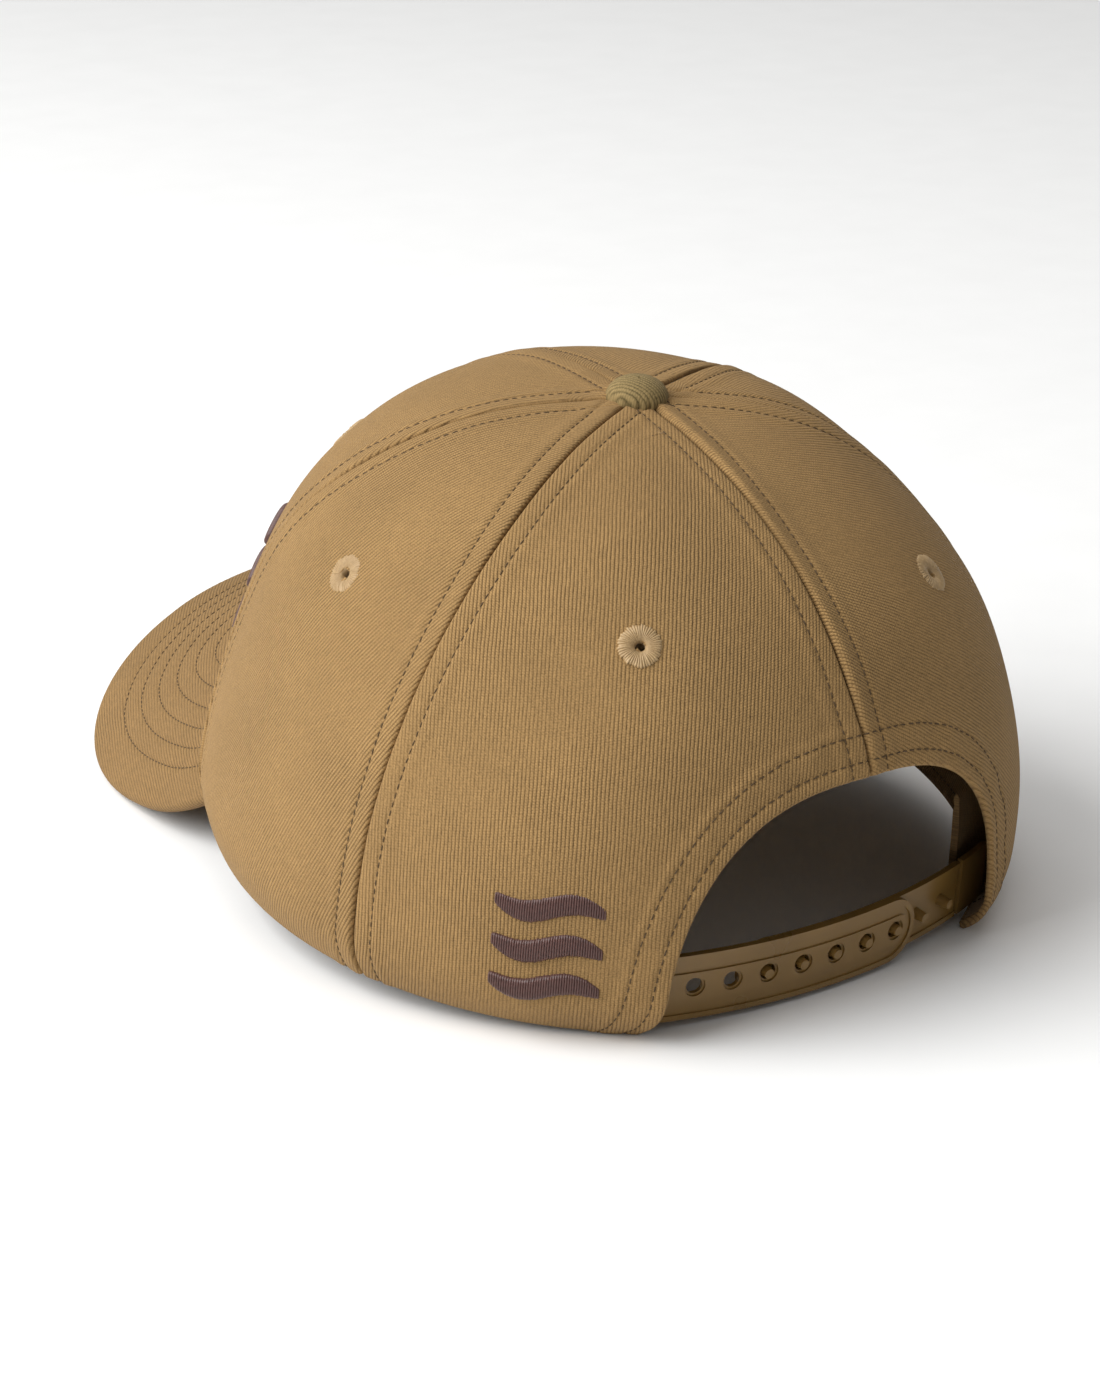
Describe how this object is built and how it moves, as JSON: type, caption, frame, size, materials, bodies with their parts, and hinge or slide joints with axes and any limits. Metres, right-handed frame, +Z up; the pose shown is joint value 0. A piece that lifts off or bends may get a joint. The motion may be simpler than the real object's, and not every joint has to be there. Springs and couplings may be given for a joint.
{
  "type": "baseball cap",
  "caption": "Six-panel baseball cap with a curved visor, covered top button, stitched eyelets and a plastic snap strap across the half-moon back opening.",
  "frame": {"origin": "middle of the footprint, on the surface that the cap rests on", "axes": "+Z up; -Y the way the visor points; +Y the back opening; +X the wearer's left"},
  "size_m": [0.1922, 0.2468, 0.1263],
  "materials": {
    "twill": "cotton twill, matt",
    "eyelet_thread": "satin stitch",
    "stiffener": "fused buckram",
    "tape": "folded cotton tape",
    "sweatband": "padded cotton band",
    "visor_board": "polyethylene sheet, satin",
    "button_cloth": "cotton twill, matt",
    "button_metal": "enamelled",
    "embroidery_thread": "satin stitch",
    "strap_plastic": "moulded polyethylene, semi-gloss"
  },
  "bodies": {
    "crown": {"panel_back_left": "twill", "eyelet_back_left": "eyelet_thread", "panel_back_right": "twill", "eyelet_back_right": "eyelet_thread", "panel_side_left": "twill", "eyelet_side_left": "eyelet_thread", "panel_side_right": "twill", "eyelet_side_right": "eyelet_thread", "panel_front_left": "twill", "eyelet_front_left": "eyelet_thread", "panel_front_right": "twill", "eyelet_front_right": "eyelet_thread", "stiffener_left": "stiffener", "stiffener_right": "stiffener", "tape_side_back_left": "tape", "tape_side_back_right": "tape", "tape_side_front_left": "tape", "tape_side_front_right": "tape", "tape_middle_front": "tape", "tape_middle_back": "tape", "arch_facing": "twill", "visor_cloth_top": "twill", "visor_cloth_under": "twill", "sweatband": "sweatband", "visor_board": "visor_board", "button_cover": "button_cloth", "button_core": "button_metal", "button_backing": "button_metal", "embroidery_back": "embroidery_thread", "embroidery_front": "embroidery_thread", "strap_tab_left": "strap_plastic", "strap_tab_right": "strap_plastic"},
    "strap_outer": {"strap_holes": "strap_plastic"},
    "strap_inner": {"strap_pegs": "strap_plastic"}
  },
  "joints": [
    {"name": "outer_strap_flex", "type": "hinge", "parent": "crown", "child": "strap_outer", "pos_m": [0.045, 0.10399, 0.01036], "axis": [0, -0.1114, -0.9938], "range_deg": [0, 35], "stiffness_Nm_per_rad": 0.01},
    {"name": "inner_strap_flex", "type": "hinge", "parent": "crown", "child": "strap_inner", "pos_m": [-0.045, 0.10207, 0.01058], "axis": [0, -0.1114, -0.9938], "range_deg": [0, 20], "stiffness_Nm_per_rad": 0.01}
  ]
}
